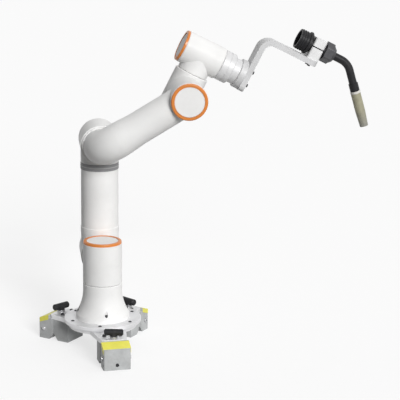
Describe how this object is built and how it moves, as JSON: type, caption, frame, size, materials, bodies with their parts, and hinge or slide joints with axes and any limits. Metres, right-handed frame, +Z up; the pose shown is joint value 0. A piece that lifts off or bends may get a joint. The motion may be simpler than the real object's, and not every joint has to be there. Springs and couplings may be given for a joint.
{
  "type": "industrial robot arm",
  "caption": "Jointed white robot arm with orange-ringed joint caps, standing on switchable magnet feet, with a swan-neck welding torch clamped to an angle bracket on its tool flange.",
  "frame": {"origin": "on the base joint's vertical axis, in the plane of the magnets' pole faces", "axes": "+Z up along the base joint, +X the way the arm reaches at rest, -Y its open front"},
  "size_m": [0.8312, 0.3468, 0.7719],
  "materials": {
    "arm_white": "smooth white paint, satin",
    "cap_white": "moulded white, semi-gloss",
    "joint_orange": "moulded orange, semi-gloss",
    "ring_grey": "moulded grey, matt",
    "magnet_grey": "light grey paint, slightly worn",
    "plate_aluminium": "milled, clear",
    "shaft_steel": "turned",
    "grip_black": "moulded black, matt",
    "bracket_aluminium": "milled, clear",
    "torch_black": "moulded black, matt",
    "nut_grey": "blackened steel",
    "insulator_white": "ceramic white, matt",
    "nozzle_brass": "turned, heat-dulled",
    "tip_copper": "copper, turned"
  },
  "bodies": {
    "stand": {"magnet_front": "magnet_grey", "magnet_right": "magnet_grey", "magnet_left": "magnet_grey", "star_plate": "plate_aluminium", "adapter_disc": "plate_aluminium", "base_housing": "arm_white"},
    "handle_front": {"switch_shaft_front": "shaft_steel", "switch_grip_front": "grip_black"},
    "handle_right": {"switch_shaft_right": "shaft_steel", "switch_grip_right": "grip_black"},
    "handle_left": {"switch_shaft_left": "shaft_steel", "switch_grip_left": "grip_black"},
    "shoulder": {"shoulder_housing": "arm_white", "base_joint_ring": "joint_orange", "base_joint_cap": "cap_white"},
    "upper_arm": {"upper_arm_lower_housing": "arm_white", "upper_arm_lower_ring": "arm_white", "upper_arm_tube": "arm_white", "upper_arm_upper_ring": "ring_grey", "upper_arm_upper_housing": "arm_white", "shoulder_joint_ring": "joint_orange", "shoulder_joint_cap": "cap_white", "elbow_joint_ring": "joint_orange", "elbow_joint_cap": "cap_white"},
    "forearm": {"forearm_casting": "arm_white", "wrist_joint_ring": "joint_orange", "wrist_joint_cap": "cap_white"},
    "wrist_one": {"wrist_one_housing": "arm_white", "wrist_one_ring": "joint_orange", "wrist_one_cap": "cap_white"},
    "wrist_two": {"wrist_two_housing": "arm_white", "wrist_two_ring": "joint_orange", "wrist_two_cap": "cap_white"},
    "tool": {"wrist_three_flange": "arm_white", "tool_adapter": "bracket_aluminium", "torch_bracket": "bracket_aluminium", "torch_body": "torch_black", "clamp_lower": "bracket_aluminium", "clamp_upper": "bracket_aluminium", "hose_collar": "torch_black", "torch_nut": "nut_grey", "torch_neck": "torch_black", "nozzle_insulator": "insulator_white", "nozzle": "nozzle_brass", "contact_tip": "tip_copper"}
  },
  "joints": [
    {"name": "base_turn", "type": "hinge", "parent": "stand", "child": "shoulder", "pos_m": [0, 0, 0.163], "axis": [0, 0, 1], "range_deg": [-175, 175]},
    {"name": "shoulder_swing", "type": "hinge", "parent": "shoulder", "child": "upper_arm", "pos_m": [0, 0.051, 0.215], "axis": [0, 1, 0], "range_deg": [-120, 120]},
    {"name": "elbow_swing", "type": "hinge", "parent": "upper_arm", "child": "forearm", "pos_m": [0, 0.051, 0.495], "axis": [0, -1, 0], "range_deg": [-59, 181]},
    {"name": "wrist_swing", "type": "hinge", "parent": "forearm", "child": "wrist_one", "pos_m": [0.20572, 0.051, 0.61861], "axis": [0, -1, 0], "range_deg": [-90, 140]},
    {"name": "wrist_turn", "type": "hinge", "parent": "wrist_one", "child": "wrist_two", "pos_m": [0.22848, 0.102, 0.66425], "axis": [0.4462, 0, 0.8949], "range_deg": [-175, 175]},
    {"name": "tool_turn", "type": "hinge", "parent": "wrist_two", "child": "tool", "pos_m": [0.29687, 0.102, 0.68714], "axis": [0.8949, 0, -0.4462], "range_deg": [-175, 175]},
    {"name": "switch_front", "type": "hinge", "parent": "stand", "child": "handle_front", "pos_m": [0.01743, -0.14193, 0.054], "axis": [0, 0, 1], "range_deg": [0, 180]},
    {"name": "switch_right", "type": "hinge", "parent": "stand", "child": "handle_right", "pos_m": [0.0717, 0.10239, 0.054], "axis": [0, 0, 1], "range_deg": [0, 180]},
    {"name": "switch_left", "type": "hinge", "parent": "stand", "child": "handle_left", "pos_m": [-0.09983, 0.07523, 0.054], "axis": [0, 0, 1], "range_deg": [0, 180]}
  ]
}
